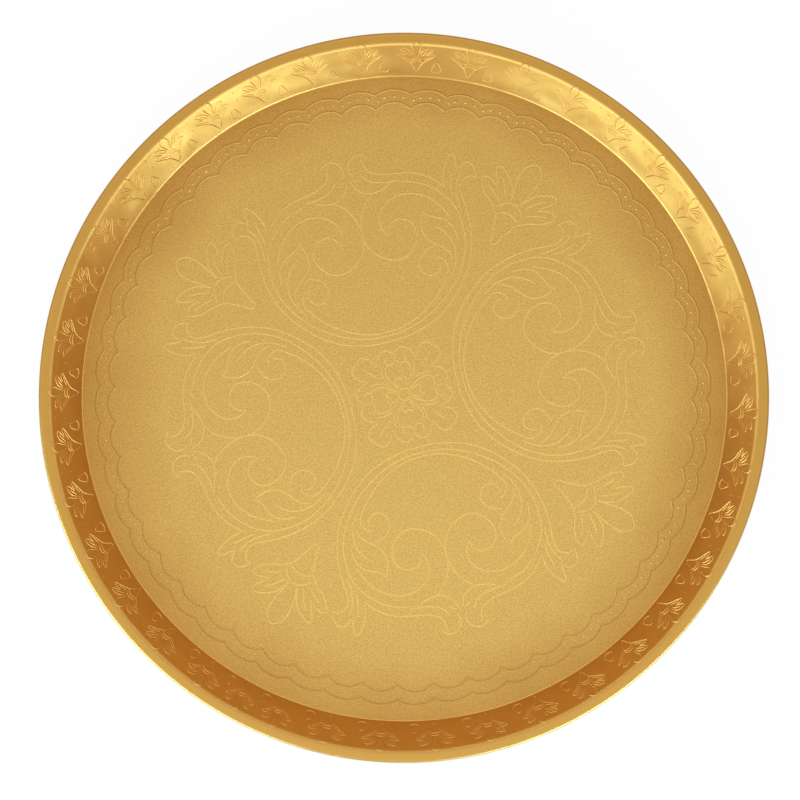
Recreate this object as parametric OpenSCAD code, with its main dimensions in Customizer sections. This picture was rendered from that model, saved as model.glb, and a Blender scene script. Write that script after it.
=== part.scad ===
// Decorative round tray: one pressed sheet with a flat floor, a sloping wall and a rim rolled round a stiffening wire.
// Millimetres, +Z up, origin at the middle of the face that the tray rests on.

/* [Tray] */
// Diameter over the rolled edge
tray_d = 350; // [250:1:450]
// Height from the resting face to the top of the rim
tray_h = 20; // [14:0.5:36]
// Thickness of the pressed sheet
sheet_t = 0.6; // [0.5:0.1:1.2]

/* [Wall] */
// How far the wall leans out between the floor and the rim
wall_run = 12.7; // [6:0.1:24]
// Bend radius inside the corner between the floor and the wall
corner_r = 1; // [0.6:0.1:4]

/* [Rim] */
// Bend radius under the shoulder between the wall and the rim
shoulder_r = 1.6; // [0.4:0.1:3]
// Room between the roll and the outside of the wall, measured square to the wall
roll_gap = 2.15; // [0.2:0.05:4]
// How far the sheet is rolled round the wire, in degrees
roll_angle = 270; // [200:5:285]

/* [Wire] */
// Diameter of the wire in the rolled edge
wire_d = 1.6; // [1.4:0.1:4]
// Clearance between the wire and the sheet rolled round it
wire_clear = 0.1; // [0.05:0.05:0.3]
// Butt gap between the two ends of the wire
wire_gap = 0.6; // [0.2:0.1:2]

/* [Hidden] */
$fn = 180;
// Largest turn of a bend between two points of the section, in degrees
bend_step = 7.5;
gold = "#CBA04C";
steel = "#8C8F92";

// Slope of the wall, from the horizontal
slope = atan2(tray_h - sheet_t, wall_run);
// Inner and outer radius of the roll
roll_in = wire_d / 2 + wire_clear;
roll_out = roll_in + sheet_t;
// Radius of the shoulder's top face
shoulder_out = shoulder_r + sheet_t;
// Centre of the roll and its wire in the half section
roll_c = [tray_d / 2 - roll_out, tray_h - roll_out];
// Radii at which the wall's inner face would meet the rim and the floor in sharp corners
wall_top_r = roll_c.x - (roll_gap + sheet_t + roll_out * (1 - cos(slope))) / sin(slope);
floor_r = wall_top_r - wall_run;
// Centres of the two bends beside the wall
corner_c = [floor_r - corner_r * tan(slope / 2), sheet_t + corner_r];
shoulder_c = [wall_top_r + shoulder_out * tan(slope / 2), tray_h - shoulder_out];

// Points along an arc about a centre
function arc(centre, r, from, to) =
    let (steps = ceil(abs(to - from) / bend_step))
    [for (i = [0:steps]) let (a = from + (to - from) * i / steps) centre + r * [cos(a), sin(a)]];

// One face of the sheet at a depth below its upper face, from the middle of the floor to the cut edge in the roll
function sheet_face(depth) = concat(
    [[0, sheet_t - depth]],
    arc(corner_c, corner_r + depth, -90, slope - 90),
    arc(shoulder_c, shoulder_out - depth, 90 + slope, 90),
    arc(roll_c, roll_out - depth, 90, 90 - roll_angle));

function reversed(points) = [for (i = [len(points) - 1:-1:0]) points[i]];

// The pressed sheet: floor, corner, wall, shoulder, rim and roll in one piece
module tray_pan() {
    color(gold) rotate_extrude() polygon(concat(sheet_face(0), reversed(sheet_face(sheet_t))));
}

// The wire ring that the edge is rolled round, with its two ends butted
module rim_wire() {
    gap_angle = 2 * asin(wire_gap / (2 * roll_c.x));
    color(steel) translate([0, 0, roll_c.y]) rotate([0, 0, gap_angle / 2])
        rotate_extrude(angle = 360 - gap_angle) translate([roll_c.x, 0]) circle(wire_d / 2);
}

tray_pan();
rim_wire();
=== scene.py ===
"""Decorative round tray: a gold-lacquered pressed sheet with raised line ornament and a wired rim."""

import math
from collections import namedtuple

import bpy
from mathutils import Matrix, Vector


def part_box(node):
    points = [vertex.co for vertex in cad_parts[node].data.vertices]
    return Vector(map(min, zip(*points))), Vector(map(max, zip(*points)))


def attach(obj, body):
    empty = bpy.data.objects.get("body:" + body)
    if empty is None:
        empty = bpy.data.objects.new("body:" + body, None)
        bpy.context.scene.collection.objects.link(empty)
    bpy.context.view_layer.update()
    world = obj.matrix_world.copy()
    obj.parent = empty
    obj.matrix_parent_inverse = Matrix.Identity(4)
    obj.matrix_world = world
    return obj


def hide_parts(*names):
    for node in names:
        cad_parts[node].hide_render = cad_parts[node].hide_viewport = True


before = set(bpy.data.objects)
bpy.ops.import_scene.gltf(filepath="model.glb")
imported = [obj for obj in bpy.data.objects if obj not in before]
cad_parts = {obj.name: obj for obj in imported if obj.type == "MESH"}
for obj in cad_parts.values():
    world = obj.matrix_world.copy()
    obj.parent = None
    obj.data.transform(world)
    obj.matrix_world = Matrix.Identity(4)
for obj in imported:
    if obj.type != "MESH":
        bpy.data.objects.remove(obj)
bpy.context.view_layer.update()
PAN_LOW, PAN_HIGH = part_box("tray_pan")

bl_info = {
    "name": "Round pressed tray",
    "version": (1, 0, 0),
    "blender": (4, 5, 0),
    "location": "3D View > Sidebar > Tray",
    "description": "Models a gold-lacquered pressed tray with raised line ornament and a wired rim",
    "category": "Object",
}

MM = 0.001


def linear(code):
    """Turn an sRGB hex colour into linear red, green and blue."""
    shares = [int(code[i:i + 2], 16) / 255 for i in (1, 3, 5)]
    return [s / 12.92 if s <= 0.04045 else ((s + 0.055) / 1.055) ** 2.4 for s in shares]


# Kinds of values that a user can change

def length_value(name, description, metres):
    """Make a property for one length."""
    return bpy.props.FloatProperty(
        name=name, description=description, unit="LENGTH", precision=5, default=metres)


def lengths_value(name, description, metres):
    """Make a property for two or three lengths that belong together."""
    return bpy.props.FloatVectorProperty(
        name=name, description=description, unit="LENGTH", precision=5, size=len(metres), default=metres)


def angle_value(name, description, degrees):
    """Make a property for an angle."""
    return bpy.props.FloatProperty(
        name=name, description=description, subtype="ANGLE", default=math.radians(degrees))


def colour_value(name, description, code):
    """Make a property for a colour."""
    return bpy.props.FloatVectorProperty(
        name=name, description=description, subtype="COLOR", size=3, min=0, max=1, default=linear(code))


# Sizes and colours that a user would change

class TrayPanSizes(bpy.types.PropertyGroup):
    """Sizes of the pressed sheet and its rolled edge"""
    diameter: length_value("Diameter", "Diameter over the rolled edge", PAN_HIGH.x - PAN_LOW.x)
    height: length_value("Height", "From the resting face to the top of the rim", PAN_HIGH.z - PAN_LOW.z)
    sheet: length_value("Sheet", "Thickness of the pressed sheet", 0.6 * MM)
    wall_run: length_value("Wall run", "How far the wall leans out between the floor and the rim", 12.7 * MM)
    corner: length_value("Corner", "Bend radius inside the corner between floor and wall", 1.0 * MM)
    shoulder: length_value("Shoulder", "Bend radius under the shoulder between wall and rim", 1.6 * MM)
    roll_gap: length_value("Roll gap", "Room between the roll and the outside of the wall", 2.15 * MM)
    roll_turn: angle_value("Roll turn", "How far the sheet is rolled round the wire", 270)
    roll_bore: length_value("Roll bore", "Inner radius of the rolled edge", 0.9 * MM)


class TrayReliefSizes(bpy.types.PropertyGroup):
    """Sizes and places of the raised ornament"""
    floor_line: lengths_value(
        "Floor line", "Width and height of the floor's raised lines", (0.85 * MM, 0.135 * MM))
    border_line: lengths_value(
        "Border line", "Width and height of the border's raised lines", (1.3 * MM, 0.26 * MM))
    wall_line: lengths_value(
        "Wall line", "Width and height of the wall's raised lines", (0.75 * MM, 0.3 * MM))
    ornament_turn: angle_value("Ornament turn", "Turn of the floor ornament, counter-clockwise", 14.75)
    ornament_place: lengths_value("Ornament place", "Middle of the floor ornament", (0.42 * MM, 1.68 * MM))
    border_place: lengths_value("Border place", "Middle of the scalloped border", (-0.69 * MM, 0.87 * MM))
    scallops: bpy.props.IntProperty(
        name="Scallops", description="Number of scallops in the border", default=52, min=12)
    border_start: angle_value("Border start", "Where the first scallop starts, clockwise from +Y", 1.26)
    border_drift: lengths_value(
        "Border drift", "How far the border's spacing drifts to the right and up", (0.97 * MM, 1.28 * MM))
    bead: length_value("Bead", "Diameter of a border bead", 1.3 * MM)
    blossoms: bpy.props.IntProperty(
        name="Blossoms", description="Blossoms round the wall at the full pitch", default=38, min=8)
    blossom_start: angle_value("Blossom start", "Where the first blossom stands, clockwise from +Y", 215.9)
    blossom_pitch: angle_value("Blossom pitch", "Angle from one blossom to the next", 9.12)
    blossom_drift: lengths_value(
        "Blossom drift", "How far the blossoms' spacing drifts to the right and up", (1.3 * MM, 0.65 * MM))
    blossom_lift: lengths_value(
        "Blossom lift", "How far up the wall the blossoms sit, all round and more at the back",
        (1.0 * MM, 0.4 * MM))
    seed_shift: length_value("Seed shift", "How far along the wall a seed stands from its blossom", 9.8 * MM)


class TrayColours(bpy.types.PropertyGroup):
    """Colours of the lacquer, the wire and the stage"""
    floor_gold: colour_value("Floor gold", "Matte gold lacquer on the floor", "#D9B365")
    # The floor's edge colour is a painted shade: the floor is drawn darker towards it near the wall
    floor_painted_shade: colour_value("Floor edge", "Deeper lacquer on the floor near the wall", "#BA8A42")
    wall_gold: colour_value("Wall gold", "Satin gold lacquer on the wall", "#DEA655")
    rim_gold: colour_value("Rim gold", "Smooth gold lacquer on the rim", "#C59441")
    wire_grey: colour_value("Wire grey", "Bare drawn steel of the rim's wire", "#8C8F92")
    backdrop: colour_value("Backdrop", "Table that the tray lies on", "#F4F4F2")
    lamp_white: colour_value("Lamp white", "Colour of the high lamps", "#FFFFFF")
    lamp_tint: colour_value("Lamp tint", "Colour of the two low lamps", "#A6DCFF")


class TrayStageSizes(bpy.types.PropertyGroup):
    """Place, aim and lens of the camera, and strength of the sky"""
    camera_place: lengths_value("Camera place", "Where the camera stands", (28.7 * MM, -37.5 * MM, 1.3))
    camera_aim: lengths_value(
        "Camera aim", "What the middle of the picture shows", (-1.53 * MM, -1.47 * MM, 10 * MM))
    camera_lens: bpy.props.FloatProperty(
        name="Lens", description="Focal length on a 36 mm frame, in millimetres", default=120.5)
    sky: bpy.props.FloatVectorProperty(
        name="Sky", description="Strength of the plain light at the horizon and overhead", size=2, min=0,
        default=(0.45, 0.6))


# Helpers for modelling

def pick(*pieces):
    """Select these objects and nothing else, and make the last one active."""
    bpy.ops.object.select_all(action="DESELECT")
    for piece in pieces:
        piece.select_set(True)
        bpy.context.view_layer.objects.active = piece


def settle(piece):
    """Put an object's place, turn and scale into its mesh."""
    pick(piece)
    bpy.ops.object.transform_apply(location=True, rotation=True, scale=True)


def joined(name, pieces):
    """Join objects into one of this name."""
    pick(*pieces)
    if len(pieces) > 1:
        bpy.ops.object.join()
    made = bpy.context.view_layer.objects.active
    made.name = name
    made.data.name = name
    return made


def copied(piece):
    """Copy an object together with its mesh."""
    pick(piece)
    bpy.ops.object.duplicate(linked=False)
    return bpy.context.view_layer.objects.active


def both_sides(lines):
    """Add each line's mirror image across the Y axis.

    A line that starts on the axis runs on into its image as one line."""
    strokes = []
    for line in lines:
        image = [(-x, y) for x, y in line]
        if line[0][0] == 0:
            strokes.append(image[:0:-1] + list(line))
        else:
            strokes += [line, image]
    return strokes


def ring_of(piece, turns, name):
    """Turn copies of an object clockwise round the Z axis by these angles and join them."""
    pieces = []
    for turn in turns:
        turned = copied(piece)
        turned.rotation_euler.z = -turn
        settle(turned)
        pieces.append(turned)
    bpy.data.objects.remove(piece)
    return joined(name, pieces)


QUARTERS = [math.tau * i / 4 for i in range(4)]

# Section of a raised line, in shares of its half width and its height: low feet that run out into the sheet,
# a rounded crown and a keel under the sheet's face
LINE_SECTION = (
    (-1, -0.12), (-0.66, 0.14), (-0.36, 0.68), (0, 1), (0.36, 0.68), (0.66, 0.14), (1, -0.12), (0, -0.6))


def new_curve():
    """Add a flat curve object with no lines in it yet."""
    bpy.ops.object.select_all(action="DESELECT")
    bpy.ops.curve.primitive_bezier_curve_add()
    made = bpy.context.view_layer.objects.active
    made.data.dimensions = "2D"
    made.data.splines.clear()
    return made


def drawn_lines(name, lines, size, steps=6, ends=0.6):
    """Draw raised lines on the XY plane, as smooth curves through points in millimetres.

    Size is a line's width and height. Each stretch between two points is divided into steps, and the section
    shrinks to the share ends at both ends of a line."""
    half = size[0] / 2
    top = size[1]
    section = new_curve()
    outline = section.data.splines.new("POLY")
    outline.points.add(len(LINE_SECTION) - 1)
    for point, (x, y) in zip(outline.points, LINE_SECTION):
        point.co = (x * half, y * top, 0, 1)
    outline.use_cyclic_u = True
    drawing = new_curve()
    drawing.data.fill_mode = "NONE"
    drawing.data.resolution_u = steps
    for line in lines:
        stroke = drawing.data.splines.new("BEZIER")
        stroke.bezier_points.add(len(line) - 1)
        stroke.radius_interpolation = "EASE"
        for i, (point, (x, y)) in enumerate(zip(stroke.bezier_points, line)):
            point.co = (x * MM, y * MM, 0)
            point.handle_left_type = "AUTO"
            point.handle_right_type = "AUTO"
            point.radius = ends if i in (0, len(line) - 1) else 1
    drawing.data.bevel_mode = "OBJECT"
    drawing.data.bevel_object = section
    drawing.data.use_fill_caps = True
    pick(drawing)
    bpy.ops.object.convert(target="MESH")
    made = bpy.context.view_layer.objects.active
    bpy.data.objects.remove(section)
    return joined(name, [made])


def laid_on_floor(piece, place, turn=0.0):
    """Lay flat relief on the floor's upper face, at a place and turn."""
    piece.location = (place[0], place[1], bpy.context.scene.tray_pan.sheet)
    piece.rotation_euler.z = turn
    settle(piece)
    return piece


# Faces that meet at a smaller angle than this are shaded as one smooth surface
SMOOTH_BELOW = math.radians(50)


def finished(piece, finish):
    """Give a piece outward faces, smooth shading and a material's finish, and tie it to the tray."""
    pick(piece)
    bpy.ops.object.mode_set(mode="EDIT")
    bpy.ops.mesh.select_all(action="SELECT")
    bpy.ops.mesh.normals_make_consistent(inside=False)
    bpy.ops.object.mode_set(mode="OBJECT")
    bpy.ops.object.shade_smooth_by_angle(angle=SMOOTH_BELOW)
    piece.data.materials.clear()
    piece.data.materials.append(finish)
    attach(piece, "root")
    return piece


# Section of the pan

# The wall's slope, the outer radii of the roll and the shoulder, the centres of the three bends in the half
# section, and the radius at the wall's foot
Bends = namedtuple("Bends", "slope roll over roll_at corner_at shoulder_at wall_foot")

# Largest turn between two points of a bend, in degrees
BEND_STEP = 5
# Radii of the rings that divide the floor, in millimetres
FLOOR_RINGS = (0, 40, 80, 120, 148)
# Distance from a bend of the ring that holds the flat face beside it flat
HOLD = 0.6 * MM
# Steps of the section's spin round the tray
SPIN_STEPS = 256


def bend_points(centre, radius, start, end):
    """Points along an arc about a centre, from a start to an end angle in degrees."""
    steps = math.ceil(abs(end - start) / BEND_STEP)
    angles = [math.radians(start + (end - start) * i / steps) for i in range(steps + 1)]
    return [(centre[0] + radius * math.cos(a), centre[1] + radius * math.sin(a)) for a in angles]


def bend_places():
    """Work out the places of the pan's bends from its sizes."""
    sizes = bpy.context.scene.tray_pan
    slope = math.atan2(sizes.height - sizes.sheet, sizes.wall_run)
    roll = sizes.roll_bore + sizes.sheet
    over = sizes.shoulder + sizes.sheet
    roll_at = (sizes.diameter / 2 - roll, sizes.height - roll)
    reach = sizes.roll_gap + sizes.sheet + roll * (1 - math.cos(slope))
    wall_top = roll_at[0] - reach / math.sin(slope)
    wall_foot = wall_top - sizes.wall_run
    corner_at = (wall_foot - sizes.corner * math.tan(slope / 2), sizes.sheet + sizes.corner)
    shoulder_at = (wall_top + over * math.tan(slope / 2), sizes.height - over)
    return Bends(slope, roll, over, roll_at, corner_at, shoulder_at, wall_foot)


def sheet_face(depth):
    """Half section of one face of the sheet, at a depth below its upper face.

    It runs from the middle of the floor to the cut edge in the roll."""
    sizes = bpy.context.scene.tray_pan
    bends = bend_places()
    lean = math.degrees(bends.slope)
    level = sizes.sheet - depth
    corner = bend_points(bends.corner_at, sizes.corner + depth, -90, lean - 90)
    shoulder = bend_points(bends.shoulder_at, bends.over - depth, 90 + lean, 90)
    edge = bend_points(bends.roll_at, bends.roll - depth, 90, 90 - math.degrees(sizes.roll_turn))
    floor = [(radius * MM, level) for radius in FLOOR_RINGS] + [(bends.corner_at[0] - HOLD, level)]
    along = (math.cos(bends.slope) * HOLD, math.sin(bends.slope) * HOLD)
    foot = (corner[-1][0] + along[0], corner[-1][1] + along[1])
    head = (shoulder[0][0] - along[0], shoulder[0][1] - along[1])
    middle = ((foot[0] + head[0]) / 2, (foot[1] + head[1]) / 2)
    return floor + corner + [foot, middle, head] + shoulder + edge


# Relief on the wall

# Angles clockwise from +Y of the two motifs that close the ring, and their share of the full width
CLOSING_TURNS = (math.radians(202), math.radians(208.8))
CLOSING_WIDTH = 0.83


def on_wall(bends, across, up, out):
    """Bend one point of flat relief on to the wall: across the wall, up along it and out of it, in metres.

    The wall's upper face is followed from its foot over the shoulder and on to the rim. What comes back is
    the point's angle from the middle of its motif, its radius and its height."""
    sizes = bpy.context.scene.tray_pan
    slope = bends.slope
    length = (bends.shoulder_at[0] - bends.over * math.sin(slope) - bends.wall_foot) / math.cos(slope)
    if up <= length:
        lean = slope
        radius = bends.wall_foot + up * math.cos(slope)
        height = sizes.sheet + up * math.sin(slope)
    elif up <= length + bends.over * slope:
        lean = slope - (up - length) / bends.over
        radius = bends.shoulder_at[0] - bends.over * math.sin(lean)
        height = bends.shoulder_at[1] + bends.over * math.cos(lean)
    else:
        lean = 0.0
        radius = bends.shoulder_at[0] + up - length - bends.over * slope
        height = sizes.height
    return across / radius, radius - out * math.sin(lean), height + out * math.cos(lean)


def wall_turns(shift):
    """Angle of each wall motif clockwise from +Y, and its share of the full width.

    Shift moves the motifs along the wall."""
    sizes = bpy.context.scene.tray_relief
    reach = bend_places().wall_foot + bpy.context.scene.tray_pan.wall_run / 2
    turns = [(sizes.blossom_start + sizes.blossom_pitch * i, 1.0) for i in range(sizes.blossoms)]
    turns += [(turn, CLOSING_WIDTH) for turn in CLOSING_TURNS]
    right, up = sizes.blossom_drift
    return [
        (turn + (right * math.cos(turn) - up * math.sin(turn) + shift * share) / reach, share)
        for turn, share in turns]


def pressed_on_wall(flat, turns, name):
    """Copy flat relief round the wall, at these angles and shares of the full width."""
    sizes = bpy.context.scene.tray_relief
    bends = bend_places()
    pieces = []
    for turn, share in turns:
        lift = sizes.blossom_lift[0] + sizes.blossom_lift[1] * math.cos(turn)
        copy = copied(flat)
        for vertex in copy.data.vertices:
            angle, radius, height = on_wall(bends, vertex.co.x * share, vertex.co.y + lift, vertex.co.z)
            vertex.co = (radius * math.sin(turn + angle), radius * math.cos(turn + angle), height)
        pieces.append(copy)
    bpy.data.objects.remove(flat)
    return joined(name, pieces)


# Materials

def add_node(tree, kind, sockets=None, **settings):
    """Add one node: settings are its own values, and sockets its inputs, each a value or a node's output."""
    made = tree.nodes.new(kind)
    for name, value in settings.items():
        setattr(made, name, value)
    for key, value in (sockets or {}).items():
        if isinstance(value, bpy.types.NodeSocket):
            tree.links.new(value, made.inputs[key])
        else:
            made.inputs[key].default_value = value
    return made


def object_place(tree):
    """The place of a point in its object, in metres."""
    return add_node(tree, "ShaderNodeTexCoord").outputs["Object"]


def noise(tree, place, width, detail):
    """Noise from 0 to 1, with spots of about this width in metres."""
    made = add_node(tree, "ShaderNodeTexNoise", {"Vector": place, "Scale": 1 / width, "Detail": detail})
    return made.outputs["Fac"]


def mapped(tree, value, low, high, start=0.0, end=1.0):
    """Map a value between start and end to a value between low and high, and hold it there beyond them."""
    made = add_node(tree, "ShaderNodeMapRange", {
        "Value": value, "From Min": start, "From Max": end, "To Min": low, "To Max": high})
    return made.outputs["Result"]


def material(name, surface, *values):
    """Get a material by name, or make it with a function that adds its nodes and returns its shader."""
    made = bpy.data.materials.get(name)
    if made is None:
        made = bpy.data.materials.new(name)
        made.use_nodes = True
        made.node_tree.nodes.clear()
        shader = surface(made.node_tree, *values)
        add_node(made.node_tree, "ShaderNodeOutputMaterial", {"Surface": shader})
    return made


def blasted_lacquer(tree, rough_low, rough_high, grit_depth, shine):
    """Gold lacquer sprayed over blasted sheet, with the grit's bump and roughness, and with painted shade
    and light in its colour.
    """
    colours = bpy.context.scene.tray_colours
    place = object_place(tree)
    # Painted shade: the colour is drawn darker near the wall, where the wall shades the floor, in an oval a
    # little off the middle, with faint clouds 50 mm wide
    oval = add_node(tree, "ShaderNodeMapping", {
        "Vector": place, "Location": (0, -4 * MM, 0), "Scale": (1.04, 0.97, 0)})
    reach = add_node(tree, "ShaderNodeVectorMath", {0: oval.outputs["Vector"]}, operation="LENGTH")
    clouds = mapped(tree, noise(tree, place, 50 * MM, 2.0), -6 * MM, 6 * MM, 0.3, 0.7)
    cloudy = add_node(tree, "ShaderNodeMath", {0: reach.outputs["Value"], 1: clouds}, operation="ADD")
    edge = mapped(tree, cloudy.outputs[0], 0.0, 0.75, 125 * MM, 168 * MM)
    # Painted light and shade: the colour is drawn palest at the front and darker to the back
    along = add_node(tree, "ShaderNodeSeparateXYZ", {"Vector": place})
    back = mapped(tree, along.outputs["Y"], 0.0, 0.5, -120 * MM, 150 * MM)
    share = add_node(tree, "ShaderNodeMath", {0: edge, 1: back}, operation="ADD")
    # Inputs 6 and 7 and output 2 of this node are its colours
    gold_and_painted_shade = add_node(tree, "ShaderNodeMix", {
        "Factor": share.outputs[0], 6: (*colours.floor_gold, 1), 7: (*colours.floor_painted_shade, 1)},
        data_type="RGBA")
    # Blasting grit of 0.3 mm is finer than a pixel here, so it is drawn 0.7 mm wide
    grit = noise(tree, place, 0.7 * MM, 1.0)
    # Painted light: the colour is drawn lighter on the grit's crests and darker in its hollows, as if the
    # crests catch more light. Shine scales it, and above 1 it paints a highlight
    painted_grit_light = mapped(tree, grit, 0.8 * shine, 1.2 * shine, 0.25, 0.75)
    grain_and_painted_light = add_node(tree, "ShaderNodeVectorMath", {0: gold_and_painted_shade.outputs[2], "Scale": painted_grit_light}, operation="SCALE")
    bump = add_node(tree, "ShaderNodeBump", {"Height": grit, "Strength": 0.6, "Distance": grit_depth})
    shader = add_node(tree, "ShaderNodeBsdfPrincipled", {
        "Base Color": grain_and_painted_light.outputs["Vector"], "Metallic": 1.0,
        "Roughness": mapped(tree, grit, rough_low, rough_high), "Normal": bump.outputs["Normal"]})
    return shader.outputs["BSDF"]


def gold_floor_material():
    """Gold lacquer over blasted sheet: it scatters the light, so it looks matte and grainy."""
    return material("gold_lacquer_blasted", blasted_lacquer, 0.52, 0.64, 0.05 * MM, 1.0)


def gold_line_material():
    """Gold lacquer on the floor's raised lines: the die burnished their crests, so they are smoother and
    shine more, and their colour is painted lighter as a painted highlight.
    """
    # A shine of 1.12 paints the lines' colour lighter: a painted highlight
    return material("gold_lacquer_burnished", blasted_lacquer, 0.32, 0.42, 0.03 * MM, 1.12)


def drawn_lacquer(tree, rough_low, rough_high):
    """Gold lacquer over drawn sheet, with its ripple and shallow dents."""
    colours = bpy.context.scene.tray_colours
    place = object_place(tree)
    # Shallow dents about 18 mm wide, where the sheet was drawn in between the blossoms
    dents = add_node(tree, "ShaderNodeBump", {
        "Height": noise(tree, place, 18 * MM, 1.0), "Strength": 1.0, "Distance": 0.8 * MM})
    # Drawing marks and lacquer ripple about 1.5 mm wide
    ripple = noise(tree, place, 1.5 * MM, 2.0)
    bump = add_node(tree, "ShaderNodeBump", {
        "Height": ripple, "Strength": 0.3, "Distance": 0.04 * MM, "Normal": dents.outputs["Normal"]})
    shader = add_node(tree, "ShaderNodeBsdfPrincipled", {
        "Base Color": (*colours.wall_gold, 1), "Metallic": 1.0,
        "Roughness": mapped(tree, ripple, rough_low, rough_high), "Normal": bump.outputs["Normal"]})
    return shader.outputs["BSDF"]


def gold_wall_material():
    """Gold lacquer over drawn sheet: smoother than the floor, with a satin shine that mirrors it softly."""
    return material("gold_lacquer_satin", drawn_lacquer, 0.32, 0.42)


def gold_stroke_material():
    """Gold lacquer on the wall's pressed lines: the die roughened them, so they glow and glint little."""
    return material("gold_lacquer_pressed", drawn_lacquer, 0.56, 0.66)


def gold_bend_material():
    """Gold lacquer on the shoulder bend: the stretched sheet is rough, so its highlight is pale and soft."""
    return material("gold_lacquer_stretched", drawn_lacquer, 0.52, 0.62)


def rolled_lacquer(tree):
    """Gold lacquer with a clear top coat, over faint ripples about 6 mm long from the rolling wheel."""
    colours = bpy.context.scene.tray_colours
    ripple = noise(tree, object_place(tree), 6 * MM, 2.0)
    shader = add_node(tree, "ShaderNodeBsdfPrincipled", {
        "Base Color": (*colours.rim_gold, 1), "Metallic": 1.0,
        "Roughness": mapped(tree, ripple, 0.38, 0.48), "Coat Weight": 0.4, "Coat Roughness": 0.2})
    return shader.outputs["BSDF"]


def gold_rim_material():
    """Gold lacquer on the rolled rim: rolling leaves it smooth, so its clear coat shows white glints."""
    return material("gold_lacquer_rolled", rolled_lacquer)


def drawn_wire(tree):
    """Bare steel with drawing lines 0.2 mm apart, which run round the ring."""
    colours = bpy.context.scene.tray_colours
    # Only the distance from the tray's axis and the height count
    apart = add_node(tree, "ShaderNodeSeparateXYZ", {"Vector": object_place(tree)})
    flat = add_node(tree, "ShaderNodeCombineXYZ", {"X": apart.outputs["X"], "Y": apart.outputs["Y"]})
    reach = add_node(tree, "ShaderNodeVectorMath", {0: flat.outputs["Vector"]}, operation="LENGTH")
    ring = add_node(tree, "ShaderNodeCombineXYZ", {"X": reach.outputs["Value"], "Y": apart.outputs["Z"]})
    lines = noise(tree, ring.outputs["Vector"], 0.2 * MM, 2.0)
    shader = add_node(tree, "ShaderNodeBsdfPrincipled", {
        "Base Color": (*colours.wire_grey, 1), "Metallic": 1.0,
        "Roughness": mapped(tree, lines, 0.28, 0.45)})
    return shader.outputs["BSDF"]


def steel_wire_material():
    """Drawn mild steel wire: bare grey metal with fine lengthwise drawing lines."""
    return material("steel_wire_drawn", drawn_wire)


def lit_card(tree):
    """White card: mostly plain white to the camera and in mirrors, and the rest shows the shadow."""
    # Share of plain white in what the camera and the mirrors see
    white_share = 0.94
    card = add_node(tree, "ShaderNodeBsdfDiffuse", {"Color": (*bpy.context.scene.tray_colours.backdrop, 1)})
    white = add_node(tree, "ShaderNodeEmission", {"Color": (1, 1, 1, 1), "Strength": 1.0})
    ray = add_node(tree, "ShaderNodeLightPath")
    seen = add_node(tree, "ShaderNodeMath", {
        0: ray.outputs["Is Camera Ray"], 1: ray.outputs["Is Glossy Ray"]}, operation="MAXIMUM")
    share = add_node(tree, "ShaderNodeMath", {0: seen.outputs[0], 1: white_share}, operation="MULTIPLY")
    both = add_node(tree, "ShaderNodeMixShader", {
        "Fac": share.outputs[0], 1: card.outputs["BSDF"], 2: white.outputs["Emission"]})
    return both.outputs["Shader"]


def white_card_material():
    """Smooth white card: pale and matt, plain white to the eye, with the tray's faint shadow."""
    return material("white_card", lit_card)


# Lines of the ornament, in millimetres

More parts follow.
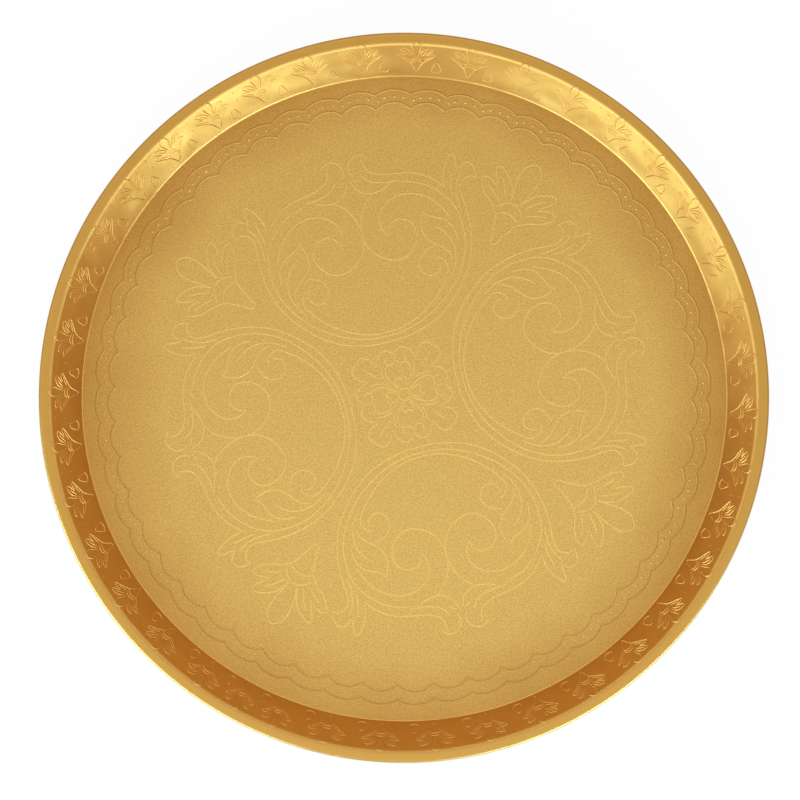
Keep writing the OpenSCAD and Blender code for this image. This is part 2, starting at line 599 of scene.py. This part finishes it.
# One half of a roundel, its axis along +Y from the middle of the tray
ROUNDEL = {
    "ring_inner": (
        (0, 31.4), (6, 31.7), (12, 33.2), (18, 35.8), (24, 39.5), (30, 44.9), (34.3, 50.3),
        (36.2, 53.5), (36.4, 56), (35, 58.7), (33, 60.2), (31.2, 59.8)),
    "ring_middle": (
        (0, 29.5), (10, 30.4), (20, 33.6), (30, 39.5), (35, 43.5), (40, 49), (44, 55), (46.8, 61.5),
        (48.2, 68), (48.4, 74), (48, 79), (46.5, 83.5), (44, 88), (40, 92.5), (35, 96.7), (30, 99),
        (24.7, 100.6)),
    "ring_outer": (
        (0, 26.6), (8, 26.9), (15, 28.3), (22, 30.5), (28, 33.6), (34, 38), (39, 43), (43.5, 48.5),
        (47, 54), (49.8, 61), (51.5, 68), (52.2, 75), (52.2, 81), (51.7, 87), (52.2, 91), (53.5, 93),
        (55.5, 94.3), (58, 94.7), (60.4, 93.2)),
    "volute_outer": (
        (9.7, 98.4), (6, 95.5), (3, 91.5), (1, 87), (0.2, 83), (0, 79.5), (0.6, 75.5), (3, 70.7),
        (7.5, 66.5), (13, 64.2), (18, 64.6), (22.5, 67.8), (25.3, 72.7), (25.6, 77), (24, 80.5),
        (20.5, 82.7), (16.5, 82.9), (13.5, 80.8), (11.8, 76.5)),
    "volute_inner": (
        (11.8, 76.5), (10.2, 80), (9.7, 84), (11, 88), (14.5, 91.7), (19.5, 94), (25, 94.4), (31, 92.7),
        (36.5, 88.8), (40.5, 83.7), (43, 78.3), (44.1, 76)),
    "leaf_left": (
        (31, 83.7), (29.3, 79.5), (28.6, 75), (30, 70.5), (33, 67), (36.5, 64.2), (38.8, 61),
        (39.6, 57.5)),
    "leaf_right": ((31, 83.7), (33, 81.3), (37, 79.3), (41, 77), (43.3, 73.5), (44.2, 69.5), (44.1, 66)),
    "leaf_vein": (
        (35.3, 75.3), (38.5, 72), (41, 67.5), (41.8, 63), (41.2, 58), (39.3, 53.5), (36.5, 49.3)),
    "curl": (
        (32, 65.9), (28, 65), (24.8, 62.8), (23, 59), (23.9, 55.2), (27, 52.6), (30.5, 53), (32.7, 56),
        (33, 57.8)),
    "crest_curl": (
        (2.6, 108.6), (1.4, 112), (2.2, 115.3), (5, 117.8), (8.3, 118.2), (10.5, 116.9), (11.9, 115.4)),
    "crest_outer": (
        (8.6, 116), (9, 112.8), (10.3, 109.8), (14, 107.4), (20, 105.7), (26.5, 104.6), (32.5, 102.8),
        (38, 99.5), (42, 95.8), (44.8, 92.3)),
    "crest_inner": ((6.2, 109.4), (7.8, 106.4), (11, 104), (15.5, 102.6), (20, 102), (24, 101.7)),
    "crest_leaf": (
        (0.8, 106.8), (2.2, 103.4), (5, 100.3), (9, 98.7), (13.5, 98.9), (17, 100), (19.5, 101)),
    "crest_mark": ((1.8, 107.2), (3.6, 106.5), (5.3, 105.4)),
    "tail_left": (
        (44.8, 93.5), (44.9, 96), (45.8, 99.5), (47.6, 103), (50, 106), (52, 107.4), (53, 106.2),
        (52.8, 103.5), (52.6, 100.5), (52.7, 98.7)),
    "tail_right": (
        (52.9, 98.9), (54.5, 100.5), (57, 101.7), (59.5, 100.8), (60.8, 98.5), (60.9, 95.5),
        (60.3, 92.8)),
    "tail_vein_left": ((49, 99.3), (48.8, 97), (48, 94), (47.4, 90.5), (47.2, 87)),
    "tail_vein_mid": ((53.6, 97.6), (52, 95.2), (50.5, 92.5), (49.5, 89), (49.1, 83), (49.3, 80)),
}

# One half of a tulip, its axis along +Y from the middle of the tray
TULIP = {
    "petal": ((0, 128.6), (2, 127.7), (4.3, 125), (4.9, 120.5), (4.4, 116), (3.6, 112), (2.4, 107.5)),
    "calyx": (
        (0, 84.8), (1.3, 85.2), (2.3, 89), (4, 93.7), (5.6, 97.6), (8, 100), (10.8, 102), (15.2, 104.4),
        (18.8, 107.6), (20.6, 110.6)),
    "arc_low": ((0, 101.2), (3.5, 100.3), (5.6, 98.9)),
    "arc_high": ((0, 106.5), (3, 105.7), (5.6, 103.6), (7.5, 101)),
    "leaf_upper_top": (
        (2.8, 107.5), (4.5, 111.8), (6.6, 115), (9.2, 117), (12.4, 118.7), (15.2, 119.4), (16.8, 118.4)),
    "leaf_upper_low": ((16.9, 118.1), (15.2, 115.2), (13, 112.4), (11.3, 110.4)),
    "leaf_upper_vein": ((11.8, 115), (9.2, 112.5), (6.9, 109.5), (5, 106.5)),
    "leaf_lower_top": ((20.8, 110.8), (18.4, 111.9), (15, 111.4), (11, 109.4)),
    "leaf_lower_vein": ((16.2, 108.7), (13.4, 107.7), (10, 105.8), (7.2, 104)),
}

# One half of a rosette's quarter, its heart along +Y
ROSETTE = {
    "heart": ((0.1, 20.3), (1.5, 21.5), (4.3, 22.7), (7.2, 21.4), (9.2, 18.3), (9.9, 15.7)),
    "heart_curl": ((0.1, 17.2), (1.2, 15.9), (3, 15.4), (4.6, 16.2), (5, 17.8), (4.2, 19.2)),
    "side_inner": ((1.5, 2.3), (3.3, 5), (5.4, 8.5), (6.3, 12), (5.6, 14.5), (4.8, 15.6)),
    "side_outer": ((6.5, 6.6), (7.6, 9.6), (8, 12.5), (7.7, 15.4)),
    "tongue": ((1.3, 3.6), (2.4, 5.5), (3.1, 7.9)),
    "tongue_tip": ((0, 7.7), (1.7, 8.6), (2.6, 7.4)),
    "eye": ((0, 2.9), (1.2, 2.6), (2.05, 2.05)),
}

# The rosette's lines that lie on a heart's axis or across the diagonal between two hearts
ROSETTE_BETWEEN = {
    "heart_cleft": ((0, 20.3), (0, 17.2)),
    "lobe": (
        (10.5, 16), (11.5, 18.8), (13.5, 21.2), (16.3, 22), (19.6, 19.6), (22, 16.3), (21.2, 13.5),
        (18.8, 11.5), (16, 10.5)),
    "lobe_vein": ((10.8, 10.8), (14, 14), (17.3, 17.3)),
}

# One half of a wall blossom: across the wall, and up along it from its foot
BLOSSOM = {
    "foot": ((0, 1.7), (0.6, 2.3)),
    "calyx": ((0.6, 2.3), (1, 3.4), (1.8, 5.8), (2.9, 8), (4, 9.1), (6.2, 11), (8.3, 13), (9.3, 14)),
    "arc_low": ((0, 9.7), (1.5, 9.3), (2.9, 8.1)),
    "arc_high": ((0, 11.6), (1.4, 11.2), (2.7, 10)),
    "petal": ((0, 22.3), (0.9, 22), (1.9, 20.9), (2.2, 19.2), (1.5, 16.2), (0.8, 12.8)),
    "leaf_upper_top": ((1.9, 13), (2.5, 15.3), (3.6, 17), (5.4, 18.2), (7, 18.3), (7.8, 17.7)),
    "leaf_upper_low": ((7.8, 17.4), (6.2, 15.4), (4.5, 13.7)),
    "leaf_upper_vein": ((5.7, 16.8), (4, 14.9), (2.6, 12.9)),
    "leaf_lower_top": ((9.3, 14), (7.4, 14.6), (5.3, 13.4)),
    "leaf_lower_vein": ((7.3, 12.9), (5.4, 11.8), (3.4, 10.4)),
}

# The bell-shaped seed between two wall blossoms, and the marks that the die's joints left beside it
SEED = {
    "top": ((-1, 8.2), (0, 8.6), (1, 8.2)),
    "left": ((-1, 8.2), (-1.3, 6.9), (-2.4, 3.2)),
    "right": ((1, 8.2), (1.4, 6.9), (2.5, 3.6)),
    "base": ((-2.4, 3.2), (-1.4, 2.4), (0, 2), (1.5, 2.5), (2.5, 3.6)),
    "mark_low": ((4.3, 11.8), (4.3, 13.2)),
    "mark_high": ((4.3, 18.4), (4.3, 19.8)),
}

# The border's two scalloped lines: radius of the cusps, and of the peaks between them
BORDER_LINES = ((146.9, 149.3), (139.8, 143.1))

# How a scalloped line rises between two cusps: share of the way, and share of the rise
SCALLOP_BOW = ((0, 0), (0.12, 0.45), (0.3, 0.85), (0.5, 1), (0.7, 0.85), (0.88, 0.45), (1, 0))

# The beads of one scallop: share of the way between two cusps, and radius
BORDER_BEADS = ((0.09, 144.3), (0.27, 145.5), (0.54, 146.0), (0.80, 145.5))

# Radius at which the drift of the border's spacing is measured
BORDER_MIDDLE = 145

# Height of a bead as a share of its width, and how far below the floor's face it is cut off
BEAD_FLATNESS = 0.35
BEAD_KEEL = 0.05


# Operators, one for each piece or group of like pieces

class TRAY_OT_pan(bpy.types.Operator):
    """Draw the sheet's half section, spin it into the pan and give each part of it its finish"""
    bl_idname = "tray.pan"
    bl_label = "Pressed pan"

    def execute(self, context):
        path = sheet_face(0) + sheet_face(context.scene.tray_pan.sheet)[::-1]
        bpy.ops.object.select_all(action="DESELECT")
        bpy.ops.mesh.primitive_plane_add(size=1 * MM, location=(0, 0, 0))
        pan = context.view_layer.objects.active
        bpy.ops.object.mode_set(mode="EDIT")
        bpy.ops.mesh.merge(type="CENTER")
        bpy.ops.transform.translate(value=(path[0][0], 0, path[0][1]))
        for (r0, z0), (r1, z1) in zip(path, path[1:]):
            bpy.ops.mesh.extrude_region_move(TRANSFORM_OT_translate={"value": (r1 - r0, 0, z1 - z0)})
        bpy.ops.mesh.select_all(action="SELECT")
        bpy.ops.mesh.spin(steps=SPIN_STEPS, angle=math.tau, center=(0, 0, 0), axis=(0, 0, 1))
        bpy.ops.mesh.select_all(action="SELECT")
        bpy.ops.mesh.remove_doubles(threshold=0.002 * MM)
        bpy.ops.mesh.dissolve_degenerate(threshold=0.001 * MM)
        bpy.ops.object.mode_set(mode="OBJECT")
        pan = finished(joined("pan", [pan]), gold_floor_material())
        for finish in (gold_wall_material(), gold_bend_material(), gold_rim_material()):
            pan.data.materials.append(finish)
        # Their slots come after the floor's
        wall, bend, rim = 1, 2, 3
        # Radii at which the finish changes: just outside the corner's start, and on the shoulder bend
        bends = bend_places()
        wall_from = bends.corner_at[0] + 0.2 * MM
        bend_from = bends.shoulder_at[0] - 1.9 * MM
        rim_from = bends.shoulder_at[0] - 0.9 * MM
        for face in pan.data.polygons:
            reach = math.hypot(face.center.x, face.center.y)
            if reach > rim_from:
                face.material_index = rim
            elif reach > bend_from:
                face.material_index = bend
            elif reach > wall_from or face.normal.z < 0:
                face.material_index = wall
        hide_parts("tray_pan")
        return {"FINISHED"}


class TRAY_OT_wire(bpy.types.Operator):
    """Give the wire in the rolled edge its finish"""
    bl_idname = "tray.wire"
    bl_label = "Rim wire"

    def execute(self, context):
        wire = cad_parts["rim_wire"]
        wire.data.materials.clear()
        wire.data.materials.append(steel_wire_material())
        return {"FINISHED"}


class TRAY_OT_scrolls(bpy.types.Operator):
    """Draw one roundel of scrolls and leaves, and turn it to the four sides of the floor"""
    bl_idname = "tray.scrolls"
    bl_label = "Floor scrolls"

    def execute(self, context):
        sizes = context.scene.tray_relief
        roundel = drawn_lines("roundel", both_sides(ROUNDEL.values()), sizes.floor_line)
        scrolls = ring_of(roundel, QUARTERS, "floor_scrolls")
        laid_on_floor(scrolls, sizes.ornament_place, sizes.ornament_turn)
        finished(scrolls, gold_line_material())
        return {"FINISHED"}


class TRAY_OT_tulips(bpy.types.Operator):
    """Draw one tulip and turn it to the four corners between the roundels"""
    bl_idname = "tray.tulips"
    bl_label = "Floor tulips"

    def execute(self, context):
        sizes = context.scene.tray_relief
        tulip = drawn_lines("tulip", both_sides(TULIP.values()), sizes.floor_line)
        tulips = ring_of(tulip, QUARTERS, "floor_tulips")
        laid_on_floor(tulips, sizes.ornament_place, sizes.ornament_turn - math.radians(45))
        finished(tulips, gold_line_material())
        return {"FINISHED"}


class TRAY_OT_rosette(bpy.types.Operator):
    """Draw one heart of the rosette and turn it round the middle of the floor"""
    bl_idname = "tray.rosette"
    bl_label = "Floor rosette"

    def execute(self, context):
        sizes = context.scene.tray_relief
        strokes = both_sides(ROSETTE.values()) + list(ROSETTE_BETWEEN.values())
        heart = drawn_lines("heart", strokes, sizes.floor_line)
        rosette = ring_of(heart, QUARTERS, "floor_rosette")
        laid_on_floor(rosette, sizes.ornament_place, sizes.ornament_turn)
        finished(rosette, gold_line_material())
        return {"FINISHED"}


class TRAY_OT_border(bpy.types.Operator):
    """Draw one scallop with its four beads and repeat it round the floor's border"""
    bl_idname = "tray.border"
    bl_label = "Scalloped border"

    def execute(self, context):
        sizes = context.scene.tray_relief
        start = sizes.border_start
        pitch = math.tau / sizes.scallops
        right, up = (drift / (BORDER_MIDDLE * MM) for drift in sizes.border_drift)
        turns = [pitch * i for i in range(sizes.scallops)]
        turns = [turn + right * math.cos(turn + start) - up * math.sin(turn + start) for turn in turns]

        def at(share, radius):
            turn = start + share * pitch
            return radius * math.sin(turn), radius * math.cos(turn)

        # Each line bows outward between two cusps that point to the middle
        lines = []
        for cusp, peak in BORDER_LINES:
            lines.append([at(share, cusp + (peak - cusp) * rise) for share, rise in SCALLOP_BOW])
        scallop = drawn_lines("scallop", lines, sizes.border_line, ends=1.0)
        beads = joined("beads", [self.bead(context, *at(*place)) for place in BORDER_BEADS])
        row = ring_of(beads, turns, "border_beads")
        laid_on_floor(row, sizes.border_place)
        finished(row, gold_line_material())
        border = ring_of(scallop, turns, "border_scallops")
        laid_on_floor(border, sizes.border_place)
        finished(border, gold_floor_material())
        return {"FINISHED"}

    def bead(self, context, x, y):
        """Add one flattened bead on the XY plane, at a place in millimetres."""
        bpy.ops.object.select_all(action="DESELECT")
        bpy.ops.mesh.primitive_uv_sphere_add(
            segments=8, ring_count=6, radius=context.scene.tray_relief.bead / 2,
            location=(x * MM, y * MM, 0), scale=(1, 1, BEAD_FLATNESS))
        made = context.view_layer.objects.active
        bpy.ops.object.mode_set(mode="EDIT")
        bpy.ops.mesh.select_all(action="SELECT")
        bpy.ops.mesh.bisect(
            plane_co=(0, 0, -BEAD_KEEL * MM), plane_no=(0, 0, 1), clear_inner=True, use_fill=True)
        bpy.ops.object.mode_set(mode="OBJECT")
        settle(made)
        return made


class TRAY_OT_blossoms(bpy.types.Operator):
    """Draw one blossom and one seed, and press copies of them into the wall"""
    bl_idname = "tray.blossoms"
    bl_label = "Wall blossoms"

    def execute(self, context):
        sizes = context.scene.tray_relief
        blossom = drawn_lines("blossom", both_sides(BLOSSOM.values()), sizes.wall_line, steps=4)
        finished(pressed_on_wall(blossom, wall_turns(0), "wall_blossoms"), gold_stroke_material())
        seed = drawn_lines("seed", SEED.values(), sizes.wall_line, steps=4)
        finished(pressed_on_wall(seed, wall_turns(sizes.seed_shift), "wall_seeds"), gold_stroke_material())
        return {"FINISHED"}


# Radius of the round table, in metres
TABLE_RADIUS = 4

# Width of the camera's frame, in millimetres
FRAME_WIDTH = 36

# Soft boxes high on all four sides, and two low in front to the left and right: place, width and height in
# metres, power in watts, and colour
LAMPS = {
    "lamp_top": ((0, -0.7, 1.6), (1.4, 1.3), 4.7, "lamp_white"),
    "lamp_left": ((-0.98, -0.88, 0.24), (1.4, 0.36), 31, "lamp_tint"),
    "lamp_right": ((0.68, -1.13, 0.24), (1.0, 0.36), 23, "lamp_tint"),
    "lamp_back": ((0, 1.0, 1.55), (2.0, 0.7), 5.0, "lamp_white"),
    "lamp_side_left": ((-1.05, 0, 1.5), (1.6, 0.6), 2.8, "lamp_white"),
    "lamp_side_right": ((1.05, 0, 1.5), (1.6, 0.6), 2.4, "lamp_white"),
}


class TRAY_OT_stage(bpy.types.Operator):
    """Set out the pale table, the soft lamps, the sky and the overhead camera"""
    bl_idname = "tray.stage"
    bl_label = "Stage"

    def execute(self, context):
        bpy.ops.object.select_all(action="DESELECT")
        bpy.ops.mesh.primitive_circle_add(
            vertices=96, radius=TABLE_RADIUS, fill_type="NGON", location=(0, 0, 0))
        table = context.view_layer.objects.active
        table.name = "table"
        table.data.materials.append(white_card_material())
        for name, (place, size, power, colour) in LAMPS.items():
            self.soft_box(context, name, place, size, power, getattr(context.scene.tray_colours, colour))
        self.sky(context)
        self.camera(context)
        context.scene.view_settings.view_transform = "Standard"
        return {"FINISHED"}

    def soft_box(self, context, name, place, size, power, colour):
        """Add a soft lamp, wide and high, that faces the middle of the tray."""
        bpy.ops.object.light_add(type="AREA", location=place)
        lamp = context.view_layer.objects.active
        lamp.name = name
        lamp.data.shape = "RECTANGLE"
        lamp.data.size, lamp.data.size_y = size
        lamp.data.energy = power
        lamp.data.color = colour
        lamp.rotation_euler = lamp.location.to_track_quat("Z", "Y").to_euler()

    def sky(self, context):
        """Light the scene from all round: paler overhead and darker towards the horizon, as in a room."""
        low, high = context.scene.tray_stage.sky
        # Height on a sphere of radius 1 from which the sky is as pale as overhead
        pale_from = 0.6
        world = context.scene.world or bpy.data.worlds.new("sky")
        context.scene.world = world
        world.use_nodes = True
        tree = world.node_tree
        tree.nodes.clear()
        aim = add_node(tree, "ShaderNodeTexCoord")
        apart = add_node(tree, "ShaderNodeSeparateXYZ", {"Vector": aim.outputs["Generated"]})
        rise = add_node(tree, "ShaderNodeMapRange", {
            "Value": apart.outputs["Z"], "From Min": 0.0, "From Max": pale_from,
            "To Min": low, "To Max": high}, interpolation_type="SMOOTHSTEP")
        glow = add_node(tree, "ShaderNodeBackground", {
            "Color": (1, 1, 1, 1), "Strength": rise.outputs["Result"]})
        add_node(tree, "ShaderNodeOutputWorld", {"Surface": glow.outputs["Background"]})

    def camera(self, context):
        """Stand the camera over the tray and aim it, with the picture's top towards +Y."""
        sizes = context.scene.tray_stage
        away = Vector(sizes.camera_place) - Vector(sizes.camera_aim)
        tilt = (-math.asin(away.y / away.length), math.atan2(away.x, away.z), 0)
        bpy.ops.object.camera_add(location=sizes.camera_place, rotation=tilt)
        made = context.view_layer.objects.active
        made.data.lens = sizes.camera_lens
        made.data.sensor_width = FRAME_WIDTH
        context.scene.camera = made


class TRAY_PT_sidebar(bpy.types.Panel):
    """Lists the tray's sizes and colours, and a button for each piece and the stage"""
    bl_idname = "TRAY_PT_sidebar"
    bl_label = "Round pressed tray"
    bl_space_type = "VIEW_3D"
    bl_region_type = "UI"
    bl_category = "Tray"

    def draw(self, context):
        for group in GROUPS:
            values = getattr(context.scene, group)
            box = self.layout.box()
            for name in values.__annotations__:
                box.prop(values, name)
        for step in STEPS:
            self.layout.operator(step.bl_idname)


GROUPS = {
    "tray_pan": TrayPanSizes,
    "tray_relief": TrayReliefSizes,
    "tray_colours": TrayColours,
    "tray_stage": TrayStageSizes,
}
STEPS = (
    TRAY_OT_pan,
    TRAY_OT_wire,
    TRAY_OT_scrolls,
    TRAY_OT_tulips,
    TRAY_OT_rosette,
    TRAY_OT_border,
    TRAY_OT_blossoms,
    TRAY_OT_stage,
)


def register():
    for name, group in GROUPS.items():
        bpy.utils.register_class(group)
        setattr(bpy.types.Scene, name, bpy.props.PointerProperty(type=group))
    for step in (*STEPS, TRAY_PT_sidebar):
        bpy.utils.register_class(step)


def unregister():
    for step in (TRAY_PT_sidebar, *reversed(STEPS)):
        bpy.utils.unregister_class(step)
    for name, group in GROUPS.items():
        delattr(bpy.types.Scene, name)
        bpy.utils.unregister_class(group)


def main():
    register()
    bpy.ops.tray.pan()
    bpy.ops.tray.wire()
    bpy.ops.tray.scrolls()
    bpy.ops.tray.tulips()
    bpy.ops.tray.rosette()
    bpy.ops.tray.border()
    bpy.ops.tray.blossoms()
    bpy.ops.tray.stage()


if __name__ == "__main__":
    main()
